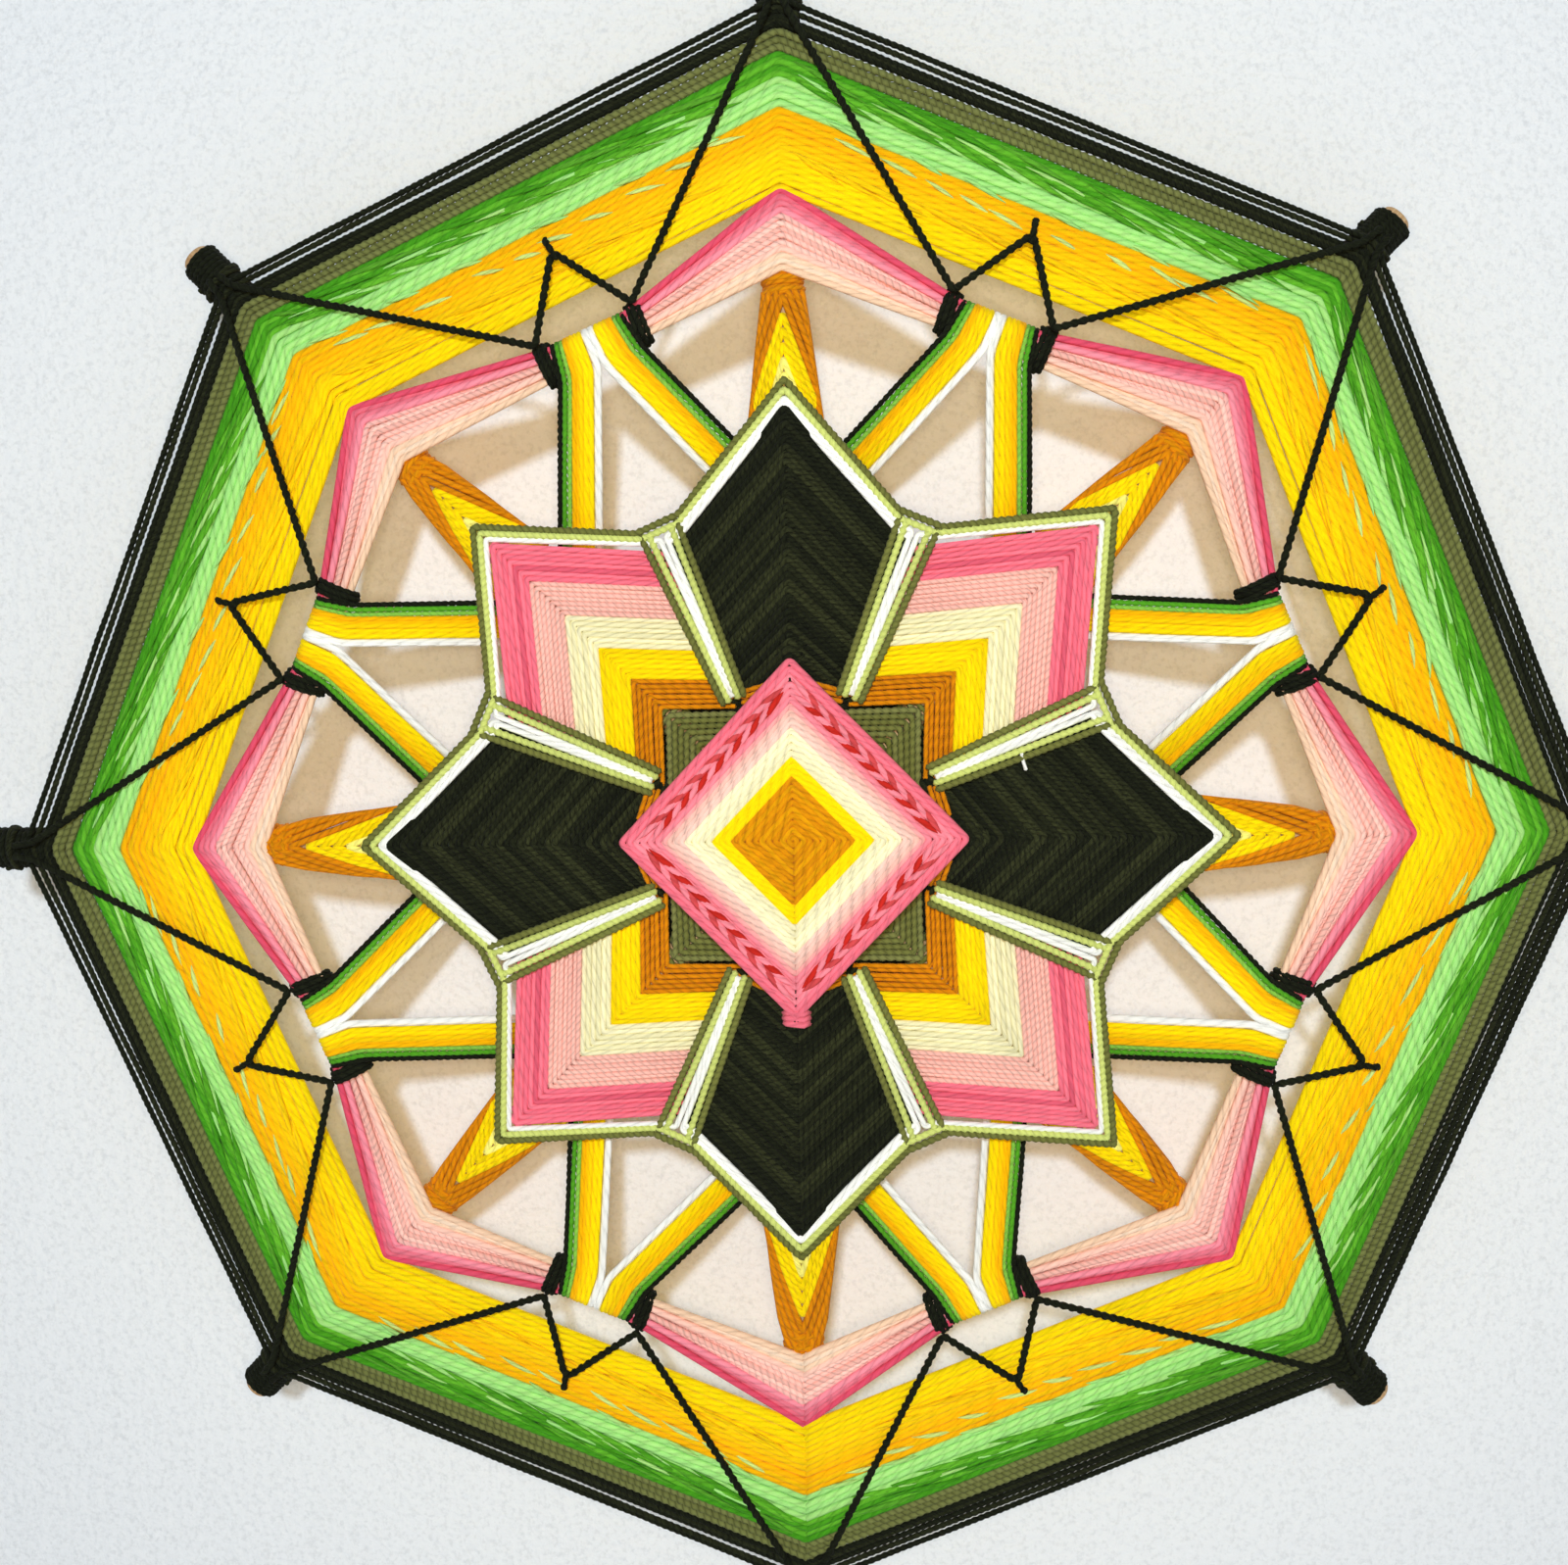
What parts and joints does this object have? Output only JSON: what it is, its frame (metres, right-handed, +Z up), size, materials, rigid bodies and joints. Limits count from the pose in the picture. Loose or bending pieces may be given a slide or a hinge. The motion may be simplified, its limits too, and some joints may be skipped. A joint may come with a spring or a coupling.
{
  "type": "yarn mandala",
  "caption": "Ojo de dios wall ornament: coloured yarn wound in a diamond eye, an interlaced star, straps and rings on stacked crosses of wooden dowels.",
  "frame": {"origin": "on the wall behind the hub, where the two crosses meet", "axes": "+Z up along the vertical dowel, +X to the viewer's right, +Y into the wall; the front faces -Y"},
  "size_m": [0.444, 0.0337, 0.444],
  "materials": {
    "wood": "raw turned dowel",
    "yarn_black": "matt twisted yarn",
    "yarn_ochre": "matt twisted yarn",
    "yarn_yellow": "matt twisted yarn",
    "yarn_cream": "matt twisted yarn",
    "yarn_salmon": "matt twisted yarn",
    "yarn_pink": "matt twisted yarn",
    "yarn_red": "matt twisted yarn",
    "yarn_white": "matt twisted yarn",
    "yarn_light_green": "matt twisted yarn",
    "yarn_olive": "matt twisted yarn",
    "yarn_peach": "matt twisted yarn",
    "yarn_orange": "matt twisted yarn",
    "yarn_green": "matt twisted yarn",
    "yarn_khaki": "matt twisted yarn"
  },
  "bodies": {
    "root": {"stick_vertical": "wood", "stick_horizontal": "wood", "stick_rising": "wood", "stick_falling": "wood", "tip_wrap_0": "yarn_black", "spindle_0": "yarn_ochre", "tip_wrap_1": "yarn_black", "spindle_1": "yarn_ochre", "tip_wrap_2": "yarn_black", "spindle_2": "yarn_ochre", "tip_wrap_3": "yarn_black", "spindle_3": "yarn_ochre", "tip_wrap_4": "yarn_black", "spindle_4": "yarn_ochre", "tip_wrap_5": "yarn_black", "spindle_5": "yarn_ochre", "tip_wrap_6": "yarn_black", "spindle_6": "yarn_ochre", "tip_wrap_7": "yarn_black", "spindle_7": "yarn_ochre", "eye_core": "yarn_ochre", "eye_yellow": "yarn_yellow", "eye_cream": "yarn_cream", "eye_light_pink": "yarn_salmon", "eye_pink_red": "yarn_red", "eye_border": "yarn_pink", "square_eye": "yarn_olive", "star_ochre": "yarn_ochre", "star_yellow": "yarn_yellow", "star_cream": "yarn_cream", "star_salmon": "yarn_salmon", "star_pink": "yarn_pink", "star_black": "yarn_black", "edging_white": "yarn_white", "edging_light_green": "yarn_light_green", "edging_olive": "yarn_olive", "ring_peach": "yarn_peach", "ring_salmon": "yarn_salmon", "ring_pink": "yarn_pink", "ring_yellow": "yarn_yellow", "ring_orange": "yarn_orange", "ring_light_green": "yarn_light_green", "ring_green": "yarn_green", "ring_khaki": "yarn_khaki", "ring_black": "yarn_black", "strap_white": "yarn_white", "strap_yellow": "yarn_yellow", "strap_green": "yarn_green", "strap_black": "yarn_black", "lacing_cord": "yarn_black"}
  },
  "joints": []
}
